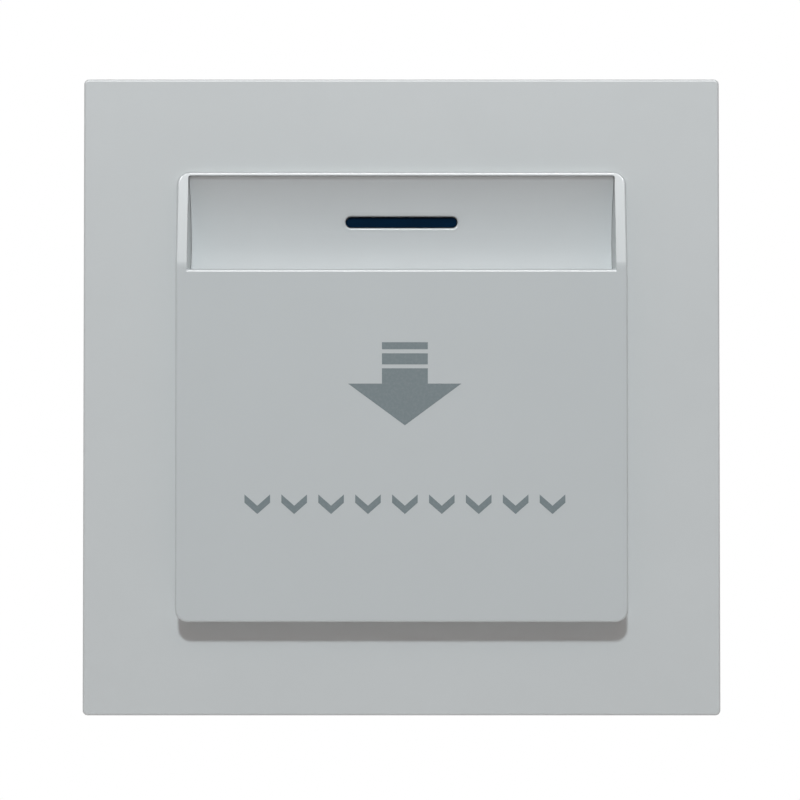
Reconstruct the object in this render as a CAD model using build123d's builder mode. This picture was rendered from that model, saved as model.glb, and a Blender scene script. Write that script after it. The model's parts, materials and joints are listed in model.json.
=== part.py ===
from build123d import *
import math
import os

# Key card switch for a square wall box.
# Millimetres, X to the right, Z up. The front faces -Y and the wall's surface is y = 0.
# A height is a distance in front of the wall's surface, so it is negative inside the wall box.
# A level is a distance above or below the middle of the plate.

os.makedirs("parts", exist_ok=True)

# Driving dimensions

# Square plate
plate_side = 86.0
plate_depth = 8.0
plate_wall = 2.0
plate_corner = 0.7
plate_edge_round = 0.35

# Raised card holder
holder_side = 60.2
holder_corner = 1.7
holder_gap = 0.2
cover_front = 12.6
cover_thickness = 1.8
cover_edge_round = 0.35
rim_front = 10.4
rim_thickness = 0.5
mouth_level = 16.9
cheek_thickness = 1.5

# Card pocket
pocket_gap = 4.4
pocket_wall = 1.6
body_gap = 0.05
card_stop_level = -22.4

# Fixing to the wall box
yoke_thickness = 1.2
fixing_centres = 60.3
fixing_slot_length = 7.0
fixing_slot_radius = 2.15

# Works in the wall box
housing_side = 52.0
housing_wall = 2.0
relay_length = 32.0
relay_width = 27.0
relay_height = 18.6
relay_headroom = 1.2
board_thickness = 1.6
solder_room = 1.0
block_depth = 13.4

# Clearances, leads and cuts
part_gap = 0.4
running_fit = 0.05
seat_gap = 0.1
lead_radius = 0.3
lead_clearance = 0.12
lead_stub = 0.8
overrun = 1.0

# Heights from the front to the back
holder_half = holder_side / 2
cover_inside = cover_front - cover_thickness
pocket_front = cover_inside - pocket_gap
pocket_rear = pocket_front - pocket_wall
relay_top = pocket_rear - relay_headroom
board_front = relay_top - relay_height
board_rear = board_front - board_thickness
lead_end = board_rear - lead_stub
block_front = board_rear - solder_room
housing_rear = block_front - block_depth
housing_inside = housing_side / 2 - housing_wall


def facing(height):
    """Plane parallel to the wall at a height in front of it, seen from the front."""
    return Plane.XZ.offset(height)


def side_on(x):
    """Upright plane square to the wall, whose own axes are the height and the level."""
    return Plane(origin=(x, 0, 0), x_dir=(0, -1, 0), z_dir=(-1, 0, 0))


def spot(x, level, height):
    """Point from its place across, its level and its height in front of the wall."""
    return (x, -height, level)


# Outer frame: a hollow square plate with an opening, a collar round it and four snap pegs

opening_side = holder_side + 2 * holder_gap
opening_corner = holder_corner + holder_gap
opening_edge_round = 0.2
collar_wall = 1.5
collar_depth = 0.8
peg_radius = 1.5
peg_tip_height = 0.2
peg_slit = 0.7
pry_notch_width = 8.0
pry_notch_depth = 1.2

plate_inside = plate_depth - plate_wall
collar_back = plate_inside - collar_depth
collar_side = opening_side + 2 * collar_wall
peg_place = (plate_side / 2 - plate_wall + collar_side / 2) / 2

with BuildPart() as outer_frame:
    with BuildSketch(facing(0)):
        RectangleRounded(plate_side, plate_side, plate_corner)
    extrude(amount=plate_depth)
    fillet(outer_frame.faces().sort_by(Axis.Y)[0].edges(), radius=plate_edge_round)
    with BuildSketch(facing(0)):
        RectangleRounded(plate_side - 2 * plate_wall, plate_side - 2 * plate_wall, plate_corner)
    extrude(amount=plate_inside, mode=Mode.SUBTRACT)
    with BuildSketch(facing(collar_back)):
        RectangleRounded(collar_side, collar_side, opening_corner + collar_wall)
    extrude(amount=collar_depth)
    with BuildSketch(facing(0)):
        RectangleRounded(opening_side, opening_side, opening_corner)
    extrude(amount=plate_depth, mode=Mode.SUBTRACT)
    fillet(
        outer_frame.faces().sort_by(Axis.Y)[0].inner_wires()[0].edges(),
        radius=opening_edge_round,
    )
    with BuildSketch(facing(peg_tip_height)):
        with GridLocations(2 * peg_place, 2 * peg_place, 2, 2):
            Circle(peg_radius)
            Rectangle(peg_slit, 2 * peg_radius, mode=Mode.SUBTRACT)
    extrude(amount=plate_inside - peg_tip_height)
    # The notch in the lower edge takes a screwdriver's blade, to pry the plate off
    with BuildSketch(facing(0)):
        with Locations((0, -plate_side / 2 + plate_wall / 2)):
            Rectangle(pry_notch_width, plate_wall + 2 * seat_gap)
    extrude(amount=pry_notch_depth, mode=Mode.SUBTRACT)

outer_frame.part.label = "outer_frame"
export_step(outer_frame.part, "parts/outer_frame.step")


# Pocket cover: the holder's front shell, with a flat cover, two sloping cheeks and a top rim

flange_reach = 1.1
flange_thickness = 1.2
cover_lip_round = 0.48
rim_inner_corner = 0.3
pocket_corner = 0.4
slope_setback = 0.5
slope_round = 4.5

slope_level = mouth_level + slope_setback
cover_end = collar_back - flange_thickness
inside_half_width = holder_half - cheek_thickness
inside_top = holder_half - rim_thickness
inside_bottom = -holder_half + cheek_thickness


def holder_inside_outline():
    """Outline of the holder's inside, with sharper corners under its thin rim."""
    with Locations((0, (inside_top + inside_bottom) / 2)):
        outline = Rectangle(2 * inside_half_width, inside_top - inside_bottom)
    corners = outline.vertices().group_by(Axis.Y)
    fillet(corners[-1], radius=rim_inner_corner)
    fillet(corners[0], radius=pocket_corner)


with BuildPart() as pocket_cover:
    with BuildSketch(facing(cover_end)):
        RectangleRounded(holder_side, holder_side, holder_corner)
    extrude(amount=cover_front - cover_end)
    with BuildSketch(side_on(0)):
        with BuildLine():
            FilletPolyline(
                (cover_front, mouth_level),
                (cover_front, slope_level),
                (rim_front, holder_half),
                radius=slope_round,
            )
            Polyline(
                (rim_front, holder_half),
                (rim_front, holder_half + overrun),
                (cover_front + overrun, holder_half + overrun),
                (cover_front + overrun, mouth_level),
                (cover_front, mouth_level),
            )
        make_face()
    extrude(amount=holder_half + overrun, both=True, mode=Mode.SUBTRACT)
    front_edges = ShapeList(
        edge
        for edge in pocket_cover.edges().filter_by_position(Axis.Y, -cover_front, -rim_front)
        if max(abs(edge.center().X), abs(edge.center().Z)) > holder_half - holder_corner
    )
    fillet(front_edges, radius=cover_edge_round)
    with BuildSketch(facing(cover_end)):
        RectangleRounded(holder_side + 2 * flange_reach, holder_side + 2 * flange_reach, holder_corner)
    extrude(amount=flange_thickness)
    with BuildSketch(facing(cover_end)):
        holder_inside_outline()
    extrude(amount=cover_inside - cover_end, mode=Mode.SUBTRACT)
    with BuildSketch(facing(cover_inside)):
        holder_inside_outline()
        with Locations((0, mouth_level + holder_half)):
            Rectangle(holder_side, 2 * holder_half, mode=Mode.INTERSECT)
    extrude(amount=cover_thickness + overrun, mode=Mode.SUBTRACT)
    lip_edges = pocket_cover.edges().filter_by(Axis.X).filter_by_position(
        Axis.Z, mouth_level - seat_gap, mouth_level + seat_gap
    )
    fillet(lip_edges.sort_by(Axis.Y)[0], radius=cover_lip_round)

pocket_cover.part.label = "pocket_cover"
export_step(pocket_cover.part, "parts/pocket_cover.step")


# Pocket back: the scooped panel, the pocket's back wall, its floor, card guides and card stops

body_end_wall = 1.5
scoop_foot_level = 16.4
scoop_foot_rise = 0.8
scoop_deep_level = 20.8
scoop_deep_rise = 0.1
scoop_lip_setback = 0.3
guide_width = 1.0
guide_front_gap = 0.3
guide_top_level = 16.0
floor_thickness = 1.5
stop_width = 12.0
stop_place = 18.0
boss_radius = 3.0
screw_radius = 1.3
screw_place = 21.5
screw_tip_height = 5.0
access_notch_width = 10.0
access_notch_depth = 2.4

body_half_width = inside_half_width - body_gap
body_top = inside_top - body_gap
body_bottom = inside_bottom + body_gap
scoop_lip_height = rim_front - scoop_lip_setback
scoop_foot_height = pocket_front + scoop_foot_rise
scoop_deep_height = pocket_front + scoop_deep_rise
guide_front = cover_inside - guide_front_gap


def circle_through(first, second, third):
    """Centre and radius of the circle through three points of a plane."""
    (ax, ay), (bx, by), (cx, cy) = first, second, third
    twist = 2 * (ax * (by - cy) + bx * (cy - ay) + cx * (ay - by))
    square_a, square_b, square_c = ax * ax + ay * ay, bx * bx + by * by, cx * cx + cy * cy
    centre_x = (square_a * (by - cy) + square_b * (cy - ay) + square_c * (ay - by)) / twist
    centre_y = (square_a * (cx - bx) + square_b * (ax - cx) + square_c * (bx - ax)) / twist
    return centre_x, centre_y, math.hypot(ax - centre_x, ay - centre_y)


scoop_centre_height, scoop_centre_level, scoop_radius = circle_through(
    (scoop_foot_height, scoop_foot_level),
    (scoop_deep_height, scoop_deep_level),
    (scoop_lip_height, body_top),
)


def scoop_height(level, behind=0):
    """Height of the scoop's surface at a level, or of a surface a distance behind it."""
    across = math.sqrt((scoop_radius + behind) ** 2 - (level - scoop_centre_level) ** 2)
    return scoop_centre_height - across


def scoop_outline(back, wall, behind):
    """Side outline of the pocket back, or of its hollow when its walls have a thickness."""
    top = body_top - wall
    bottom = body_bottom + wall
    with BuildLine() as outline:
        arc = ThreePointArc(
            (scoop_height(scoop_foot_level, behind), scoop_foot_level),
            (scoop_height(scoop_deep_level, behind), scoop_deep_level),
            (scoop_height(top, behind), top),
        )
        Polyline(
            arc @ 1,
            (back, top),
            (back, bottom),
            (pocket_front - behind, bottom),
            (pocket_front - behind, scoop_foot_level - scoop_foot_rise),
            arc @ 0,
        )
    make_face(outline.edges())


# Window: a slot across the scoop, with a boss behind it that the light guide seats on
window_level = 23.72
window_length = 15.2
window_height = 1.5
window_edge_round = 0.33
lens_boss_margin = 0.9
lens_seat_depth = 1.2
lens_flange_length = 17.4
lens_flange_height = 5.2
lens_flange_drop = 0.9
lens_seat_height = pocket_rear - lens_seat_depth
lens_flange_level = window_level - lens_flange_drop

# Lever's place: its nose is pressed from its rest down to the card stops
nose_drop = 3.8
nose_front_gap = 0.6
lever_width = 5.2
lever_slot_gap = 0.4
pin_radius = 1.0
pin_seat_fit = 0.01
ear_radius = 1.8
ear_thickness = 2.0
ear_inner_place = 7.6
ear_switch_gap = 0.4
switch_depth = 10.2
nose_slot_bottom_level = -26.0
nose_slot_top_level = -17.8
switch_front = board_front + switch_depth
pivot_height = switch_front + ear_switch_gap + ear_radius
pivot_level = card_stop_level + nose_drop / 2
nose_tip_height = cover_inside - nose_front_gap
nose_top_level = card_stop_level + nose_drop

with BuildPart() as card_pocket_back:
    with BuildSketch(side_on(0)):
        scoop_outline(yoke_thickness, 0, 0)
    extrude(amount=body_half_width, both=True)
    fillet(card_pocket_back.edges().filter_by(Axis.Y).group_by(Axis.Z)[-1], radius=rim_inner_corner)
    with BuildSketch(side_on(0)):
        scoop_outline(yoke_thickness, body_end_wall, pocket_wall)
    extrude(amount=body_half_width - body_end_wall, both=True, mode=Mode.SUBTRACT)
    # Floor and the two card stops that stand on it
    with BuildSketch(facing(pocket_front)):
        with Locations((0, body_bottom + floor_thickness / 2)):
            Rectangle(2 * body_half_width, floor_thickness)
        with Locations((stop_place, 0), (-stop_place, 0)):
            with Locations((0, (card_stop_level + body_bottom) / 2)):
                Rectangle(stop_width, card_stop_level - body_bottom)
        with Locations((body_half_width - guide_width / 2, 0), (guide_width / 2 - body_half_width, 0)):
            with Locations((0, (guide_top_level + body_bottom) / 2)):
                Rectangle(guide_width, guide_top_level - body_bottom)
    extrude(amount=guide_front - pocket_front)
    # Bosses for the housing's screws, and the boss behind the window
    with BuildSketch(facing(yoke_thickness)):
        with GridLocations(2 * screw_place, 2 * screw_place, 2, 2):
            Circle(boss_radius)
    extrude(amount=pocket_rear + pocket_wall / 2 - yoke_thickness)
    with BuildSketch(facing(lens_seat_height)):
        with Locations((0, lens_flange_level)):
            Rectangle(
                lens_flange_length + 2 * lens_boss_margin,
                lens_flange_height + 2 * lens_boss_margin,
            )
    extrude(amount=lens_seat_depth + pocket_wall / 2)
    with BuildSketch(facing(yoke_thickness)):
        with GridLocations(2 * screw_place, 2 * screw_place, 2, 2):
            Circle(screw_radius + running_fit)
    extrude(amount=screw_tip_height + seat_gap - yoke_thickness, mode=Mode.SUBTRACT)
    # Ears that hold the lever's pin
    for ear_start in (ear_inner_place + ear_thickness, -ear_inner_place):
        with BuildSketch(side_on(ear_start)):
            with Locations((pivot_height, pivot_level)):
                Circle(ear_radius)
            with Locations(((pivot_height + pocket_rear + pocket_wall / 2) / 2, pivot_level)):
                Rectangle(pocket_rear + pocket_wall / 2 - pivot_height, 2 * ear_radius)
            with Locations((pivot_height, pivot_level)):
                Circle(pin_radius + pin_seat_fit, mode=Mode.SUBTRACT)
        extrude(amount=ear_thickness)
    # Slot for the lever's nose, and the two notches that leave the fixing screws in reach
    with BuildSketch(facing(yoke_thickness)):
        with Locations((0, (nose_slot_top_level + nose_slot_bottom_level) / 2)):
            Rectangle(lever_width + 2 * lever_slot_gap, nose_slot_top_level - nose_slot_bottom_level)
        with Locations((body_half_width, 0), (-body_half_width, 0)):
            Rectangle(2 * access_notch_depth, access_notch_width)
    extrude(amount=cover_front, mode=Mode.SUBTRACT)
    # Window slot, with its front edge rounded
    with BuildSketch(facing(lens_seat_height - overrun)):
        with Locations((0, window_level)):
            SlotOverall(window_length, window_height)
    extrude(amount=cover_front, mode=Mode.SUBTRACT)
    window_rim = card_pocket_back.edges(Select.LAST).filter_by(Axis.Y, reverse=True)
    fillet(
        window_rim.filter_by_position(Axis.Y, -cover_front, -lens_seat_height - pocket_wall / 2),
        radius=window_edge_round,
    )

card_pocket_back.part.label = "card_pocket_back"
export_step(card_pocket_back.part, "parts/card_pocket_back.step")


# Window lens: the light guide, a blade in the slot and a flange on the boss behind it

lens_recess = 0.3
lens_flange_thickness = 1.2
lens_back_height = lens_seat_height - lens_flange_thickness
lens_front_height = scoop_height(window_level - window_height / 2) - lens_recess

with BuildPart() as window_lens:
    with BuildSketch(facing(lens_back_height)):
        with Locations((0, lens_flange_level)):
            Rectangle(lens_flange_length, lens_flange_height)
    extrude(amount=lens_flange_thickness)
    with BuildSketch(facing(lens_back_height)):
        with Locations((0, window_level)):
            SlotOverall(window_length - 2 * seat_gap, window_height - 2 * seat_gap)
    extrude(amount=lens_front_height - lens_back_height)

window_lens.part.label = "window_lens"
export_step(window_lens.part, "parts/window_lens.step")


# Mounting yoke: the flat steel plate on the wall, with two fixing slots

yoke_margin = 2.0
yoke_corner = 3.0
yoke_peg_gap = 0.1
yoke_screw_clearance = 0.3
yoke_tab = 8.2

yoke_side = plate_side - 2 * plate_wall - 2 * yoke_margin
yoke_opening = 2 * housing_inside
yoke_waist = 2 * (housing_inside - yoke_tab) + 2 * boss_radius

with BuildPart() as mounting_yoke:
    with BuildSketch(facing(0)):
        RectangleRounded(yoke_side, yoke_side, yoke_corner)
        Rectangle(yoke_opening, yoke_waist, mode=Mode.SUBTRACT)
        Rectangle(yoke_waist, yoke_opening, mode=Mode.SUBTRACT)
        with Locations((fixing_centres / 2, 0), (-fixing_centres / 2, 0)):
            SlotOverall(fixing_slot_length, 2 * fixing_slot_radius, mode=Mode.SUBTRACT)
        with GridLocations(2 * screw_place, 2 * screw_place, 2, 2):
            Circle(screw_radius + yoke_screw_clearance, mode=Mode.SUBTRACT)
        with GridLocations(2 * peg_place, 2 * peg_place, 2, 2):
            Circle(peg_radius + yoke_peg_gap, mode=Mode.SUBTRACT)
    extrude(amount=yoke_thickness)

mounting_yoke.part.label = "mounting_yoke"
export_step(mounting_yoke.part, "parts/mounting_yoke.step")


# Circuit board layout: (across, level) of the middle of each part that stands on the board

relay_level = 4.8
switch_length = 19.8
switch_width = 6.4
heel_rise = 4.2
spacer_length = 12.0
spacer_height = 4.2
spacer_drop = 1.1
capacitor_radius = 4.0
film_length = 18.0
rectifier_length = 8.4
varistor_radius = 4.8
chip_span = 6.0
chip_drop = 4.0
resistor_reach = 4.6
board_screw_inset = 3.2
board_screw_level = -10.0

switch_level = pivot_level + heel_rise
spacer_level = lens_flange_level - spacer_drop
relay_side = relay_length / 2 + part_gap
bay_width = housing_inside - relay_side
film_width = bay_width - 4 * part_gap
rectifier_width = bay_width - 3 * part_gap
switch_side = switch_length / 2 + part_gap
capacitor_place = (switch_side + capacitor_radius, switch_level + capacitor_radius / 4)
film_place = (-(relay_side + housing_inside) / 2, relay_level)
rectifier_place = ((relay_side + housing_inside) / 2, relay_level - rectifier_length / 2 - part_gap)
varistor_place = (rectifier_place[0], relay_level + varistor_radius)
chip_place = (-switch_side - part_gap - chip_span / 2, switch_level - chip_drop)
resistor_row_level = (switch_level + switch_width / 2 + relay_level - relay_width / 2) / 2
resistor_top_place = relay_length / 2 - resistor_reach
resistor_places = [
    (-resistor_reach - part_gap, resistor_row_level),
    (resistor_reach + part_gap, resistor_row_level),
    (-resistor_top_place, spacer_level),
    (resistor_top_place, spacer_level),
]
board_screw_places = [
    (housing_inside - board_screw_inset, board_screw_level),
    (board_screw_inset - housing_inside, board_screw_level),
]
round_legs = []
pin_legs = []


# Indicator leds: two round lamps on long legs behind the window

led_radius = 1.5
led_flange_radius = 1.9
led_flange_thickness = 1.0
led_body_length = 4.6
led_lens_gap = 0.4
led_place = 3.5
led_leg_pitch = 2.54
led_tip_height = lens_back_height - led_lens_gap
led_seat_height = led_tip_height - led_body_length
led_places = [(-led_place, spacer_level), (led_place, spacer_level)]
led_legs = [
    (across + side * led_leg_pitch / 2, level) for across, level in led_places for side in (-1, 1)
]
round_legs += led_legs

with BuildPart() as indicator_leds:
    with BuildSketch(facing(led_seat_height)):
        with Locations(*led_places):
            Circle(led_flange_radius)
    extrude(amount=led_flange_thickness)
    with BuildSketch(facing(led_seat_height)):
        with Locations(*led_places):
            Circle(led_radius)
    extrude(amount=led_body_length - led_radius)
    with Locations(*[spot(across, level, led_tip_height - led_radius) for across, level in led_places]):
        Sphere(led_radius)
    with BuildSketch(facing(lead_end)):
        with Locations(*led_legs):
            Circle(lead_radius)
    extrude(amount=led_seat_height - lead_end)

indicator_leds.part.label = "indicator_leds"
export_step(indicator_leds.part, "parts/indicator_leds.step")


# Led spacer: the block on the board that holds the two lamps up at the window

with BuildPart() as led_spacer:
    with BuildSketch(facing(board_front)):
        with Locations((0, spacer_level)):
            RectangleRounded(spacer_length, spacer_height, lead_radius)
        with Locations(*led_legs):
            Circle(lead_radius + lead_clearance, mode=Mode.SUBTRACT)
    extrude(amount=led_seat_height - board_front)

led_spacer.part.label = "led_spacer"
export_step(led_spacer.part, "parts/led_spacer.step")


# Snap switch: case, base, plunger, moving blade, fixed contacts with their legs

switch_wall = 0.9
switch_base_thickness = 1.6
plunger_length = 2.8
plunger_width = 1.5
plunger_pressed_reach = 0.4
plunger_travel = 1.1
plunger_flange_length = 4.0
plunger_flange_width = 2.6
plunger_flange_thickness = 0.8
plunger_stem = 1.4
blade_thickness = 0.3
blade_width = 3.0
blade_pivot_inset = 1.4
blade_end_reach = 0.4
blade_swing = 8.0
contact_pitch = 2.0
contact_radius = 0.9
contact_thickness = 0.4
pin_leg_radius = 0.5
bracket_inset = 0.6
bracket_thickness = 0.5

switch_inside = switch_length / 2 - switch_wall
blade_pivot_place = switch_inside - blade_pivot_inset
bracket_place = switch_inside - bracket_inset
contact_place = bracket_place - contact_pitch
switch_base_top = board_front + switch_base_thickness
switch_ceiling = switch_front - switch_wall
blade_reach = blade_pivot_place + contact_place + contact_radius
blade_length = blade_reach + blade_end_reach
blade_rise = blade_reach * math.sin(math.radians(blade_swing))
bracket_front = switch_ceiling - seat_gap
bracket_rear = bracket_front - bracket_thickness
blade_front = bracket_rear - seat_gap - blade_rise - contact_thickness
blade_rear = blade_front - blade_thickness
flange_front = switch_ceiling - plunger_travel - seat_gap
plunger_rest_height = switch_front + plunger_pressed_reach
fixed_contact_front = blade_rear - contact_thickness - seat_gap
switch_leg_places = [
    (blade_pivot_place, switch_level), (-contact_place, switch_level), (-bracket_place, switch_level)
]
pin_legs += switch_leg_places

with BuildPart() as microswitch_case:
    with BuildSketch(facing(switch_base_top)):
        with Locations((0, switch_level)):
            Rectangle(switch_length, switch_width)
    extrude(amount=switch_front - switch_base_top)
    with BuildSketch(facing(switch_base_top)):
        with Locations((0, switch_level)):
            Rectangle(switch_length - 2 * switch_wall, switch_width - 2 * switch_wall)
    extrude(amount=switch_ceiling - switch_base_top, mode=Mode.SUBTRACT)
    with BuildSketch(facing(switch_ceiling)):
        with Locations((0, switch_level)):
            Rectangle(plunger_length + 2 * seat_gap, plunger_width + 2 * seat_gap)
    extrude(amount=switch_wall, mode=Mode.SUBTRACT)

microswitch_case.part.label = "microswitch_case"
export_step(microswitch_case.part, "parts/microswitch_case.step")

with BuildPart() as microswitch_base:
    with BuildSketch(facing(board_front)):
        with Locations((0, switch_level)):
            Rectangle(switch_length, switch_width)
        with Locations(*switch_leg_places):
            Circle(pin_leg_radius + running_fit, mode=Mode.SUBTRACT)
    extrude(amount=switch_base_thickness)

microswitch_base.part.label = "microswitch_base"
export_step(microswitch_base.part, "parts/microswitch_base.step")

with BuildPart() as switch_plunger:
    with BuildSketch(facing(flange_front)):
        with Locations((0, switch_level)):
            Rectangle(plunger_length, plunger_width)
    extrude(amount=plunger_rest_height - flange_front)
    plunger_ends = switch_plunger.faces().sort_by(Axis.Y)[0].edges().filter_by(Axis.Z)
    fillet(plunger_ends, radius=plunger_pressed_reach)
    with BuildSketch(facing(flange_front - plunger_flange_thickness)):
        with Locations((0, switch_level)):
            Rectangle(plunger_flange_length, plunger_flange_width)
    extrude(amount=plunger_flange_thickness)
    with BuildSketch(facing(blade_front + seat_gap)):
        with Locations((0, switch_level)):
            Rectangle(plunger_stem, plunger_stem)
    extrude(amount=flange_front - blade_front - seat_gap)

switch_plunger.part.label = "switch_plunger"
export_step(switch_plunger.part, "parts/switch_plunger.step")

with BuildPart() as switch_blade:
    with BuildSketch(facing(blade_rear)):
        with Locations((blade_pivot_place + blade_end_reach - blade_length / 2, switch_level)):
            Rectangle(blade_length, blade_width)
    extrude(amount=blade_thickness)
    with BuildSketch(facing(blade_rear - contact_thickness)):
        with Locations((-contact_place, switch_level)):
            Circle(contact_radius)
    extrude(amount=blade_thickness + 2 * contact_thickness)

switch_blade.part.label = "switch_blade"
export_step(switch_blade.part, "parts/switch_blade.step")

with BuildPart() as switch_pins:
    with BuildSketch(facing(lead_end)):
        with Locations((blade_pivot_place, switch_level)):
            Circle(pin_leg_radius)
    extrude(amount=blade_rear - seat_gap - lead_end)
    with BuildSketch(facing(lead_end)):
        with Locations((-contact_place, switch_level)):
            Circle(pin_leg_radius)
    extrude(amount=fixed_contact_front - lead_end)
    with BuildSketch(facing(lead_end)):
        with Locations((-bracket_place, switch_level)):
            Circle(pin_leg_radius)
    extrude(amount=bracket_front - lead_end)
    with BuildSketch(facing(bracket_rear)):
        with Locations((-(bracket_place + contact_place) / 2, switch_level)):
            Rectangle(bracket_place - contact_place + 2 * pin_leg_radius, 2 * pin_leg_radius)
    extrude(amount=bracket_thickness)

switch_pins.part.label = "switch_pins"
export_step(switch_pins.part, "parts/switch_pins.step")


# Card lever: the nose in the pocket, the hub on its pin and the heel on the plunger

hub_radius = 1.9
heel_radius = 1.0
heel_gap = 0.05
heel_arm_width = 1.7
nose_thickness = 1.9
nose_round = 0.6
hub_left_gap = 0.3

heel_height = plunger_rest_height + heel_gap + heel_radius
card_height = (cover_inside + pocket_front) / 2
card_reach = math.hypot(card_height - pivot_height, nose_drop / 2)
lever_angle = 2 * math.degrees(math.asin(nose_drop / 2 / card_reach))
hub_length = ear_inner_place - hub_left_gap + lever_width / 2

with BuildPart() as card_lever:
    with BuildSketch(side_on(lever_width / 2)):
        with Locations((pivot_height, pivot_level)):
            Circle(hub_radius)
        with BuildLine():
            Polyline(
                (pivot_height, pivot_level + hub_radius),
                (nose_tip_height, nose_top_level),
                (nose_tip_height, nose_top_level - nose_thickness),
                (pocket_front, nose_top_level - nose_thickness),
                (pivot_height + hub_radius / 2, pivot_level - hub_radius * math.sqrt(3) / 2),
                (pivot_height, pivot_level),
                close=True,
            )
        make_face()
        with BuildLine():
            Polyline(
                (pivot_height - heel_arm_width / 2, pivot_level),
                (heel_height - heel_arm_width / 2, switch_level),
                (heel_height + heel_arm_width / 2, switch_level),
                (pivot_height + heel_arm_width / 2, pivot_level),
                close=True,
            )
        make_face()
        with Locations((heel_height, switch_level)):
            Circle(heel_radius)
    extrude(amount=lever_width)
    fillet(card_lever.edges().filter_by(Axis.X).sort_by(Axis.Y)[0:2], radius=nose_round)
    with BuildSketch(side_on(-lever_width / 2)):
        with Locations((pivot_height, pivot_level)):
            Circle(hub_radius)
    extrude(amount=hub_length - lever_width)
    with BuildSketch(side_on(lever_width / 2)):
        with Locations((pivot_height, pivot_level)):
            Circle(pin_radius + running_fit)
    extrude(amount=hub_length, mode=Mode.SUBTRACT)

card_lever.part.label = "card_lever"
export_step(card_lever.part, "parts/card_lever.step")
print("lever swing in degrees", round(lever_angle, 3))


# Lever pin: a plain steel pin through both ears and the lever's hub

pin_overhang = 0.4
pin_length = 2 * (ear_inner_place + ear_thickness + pin_overhang)

with BuildPart() as lever_pin:
    with BuildSketch(side_on(pin_length / 2)):
        with Locations((pivot_height, pivot_level)):
            Circle(pin_radius)
    extrude(amount=pin_length)
    chamfer(lever_pin.edges().filter_by(GeomType.CIRCLE), length=pin_overhang / 2)

lever_pin.part.label = "lever_pin"
export_step(lever_pin.part, "parts/lever_pin.step")


# Lever spring: a torsion spring on the pin, its one leg under the lever's arm and its other leg
# behind the pocket's back wall. Its wire is one tube along arcs and straight runs.

spring_wire_radius = 0.2
spring_coil_radius = 1.6
spring_start = 3.3
spring_end = 6.4
spring_turns = 3.5
spring_hook_height = 2.4
spring_hook_reach = 1.6
spring_hook_bend = 0.5

spring_pitch = (spring_end - spring_start) / spring_turns


def coil_point(turn):
    """Point of the coil after a number of turns, which starts at its lowest place."""
    angle = 2 * math.pi * turn
    return Vector(
        spring_start + spring_pitch * turn,
        -pivot_height + spring_coil_radius * math.sin(angle),
        pivot_level - spring_coil_radius * math.cos(angle),
    )


def coil_direction(turn):
    """Direction of the wire after a number of turns."""
    angle = 2 * math.pi * turn
    lead = spring_pitch / (2 * math.pi)
    along = Vector(lead, spring_coil_radius * math.cos(angle), spring_coil_radius * math.sin(angle))
    return along.normalized()


def add_biarc(start, start_direction, end, end_direction):
    """Two arcs that join two points of the wire, tangent at both and to each other."""
    chord = end - start
    both = start_direction + end_direction
    bend = 2 * (1 - start_direction.dot(end_direction))
    root = math.sqrt(chord.dot(both) ** 2 + bend * chord.dot(chord))
    reach = (root - chord.dot(both)) / bend
    near, far = start + start_direction * reach, end - end_direction * reach
    middle = (near + far) * 0.5
    TangentArc(start, middle, tangent=start_direction)
    TangentArc(middle, end, tangent=far - near)


with BuildPart() as lever_spring:
    with BuildLine() as wire_path:
        start_direction = coil_direction(0)
        run = (spring_hook_height - pivot_height) / -start_direction.Y
        corner = coil_point(0) + start_direction * run
        FilletPolyline(
            corner - Vector(spring_hook_reach, 0, 0), corner, coil_point(0), radius=spring_hook_bend
        )
        for quarter in range(round(4 * spring_turns)):
            first, second = quarter / 4, (quarter + 1) / 4
            add_biarc(coil_point(first), coil_direction(first), coil_point(second), coil_direction(second))
        end_direction = coil_direction(spring_turns)
        run = (pocket_rear - spring_wire_radius - pivot_height) / -end_direction.Y
        Line(coil_point(spring_turns), coil_point(spring_turns) + end_direction * run)
    with BuildSketch(Plane(origin=wire_path.line @ 0, z_dir=wire_path.line % 0)):
        Circle(spring_wire_radius)
    sweep(path=wire_path.line)

coil_samples = [coil_point(step / 48) for step in range(round(48 * spring_turns) + 1)]
coil_gap = min(
    (coil_samples[a] - coil_samples[b]).length
    for a in range(len(coil_samples)) for b in range(a + 36, len(coil_samples))
) - 2 * spring_wire_radius
wire_length = sum(edge.length for edge in wire_path.edges())
wire_volume = math.pi * spring_wire_radius ** 2 * wire_length
print("spring: least gap between turns", round(coil_gap, 3),
      "volume over wire length times section", round(lever_spring.part.volume / wire_volume, 4))

lever_spring.part.label = "lever_spring"
export_step(lever_spring.part, "parts/lever_spring.step")


# Relay: base, cover, bobbin, winding, core, frame, armature, fixed contact and legs

relay_wall = 1.0
relay_base_thickness = 2.0
relay_cover_lift = 0.3
relay_cover_round = 0.8
armature_thickness = 1.3
armature_width = 10.0
armature_room = 0.6
armature_swing = 4.0
pole_gap = 1.0
pole_radius = 4.4
pole_thickness = 0.8
core_radius = 2.5
bobbin_radius = 6.6
bobbin_tube_radius = 3.2
bobbin_flange = 0.8
winding_radius = 6.1
coil_gap = 0.6
iron_thickness = 1.4
iron_width = 11.0
relay_contact_inset = 2.8
relay_contact_radius = 1.5
relay_contact_thickness = 0.6
relay_row_inset = 4.5

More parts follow.
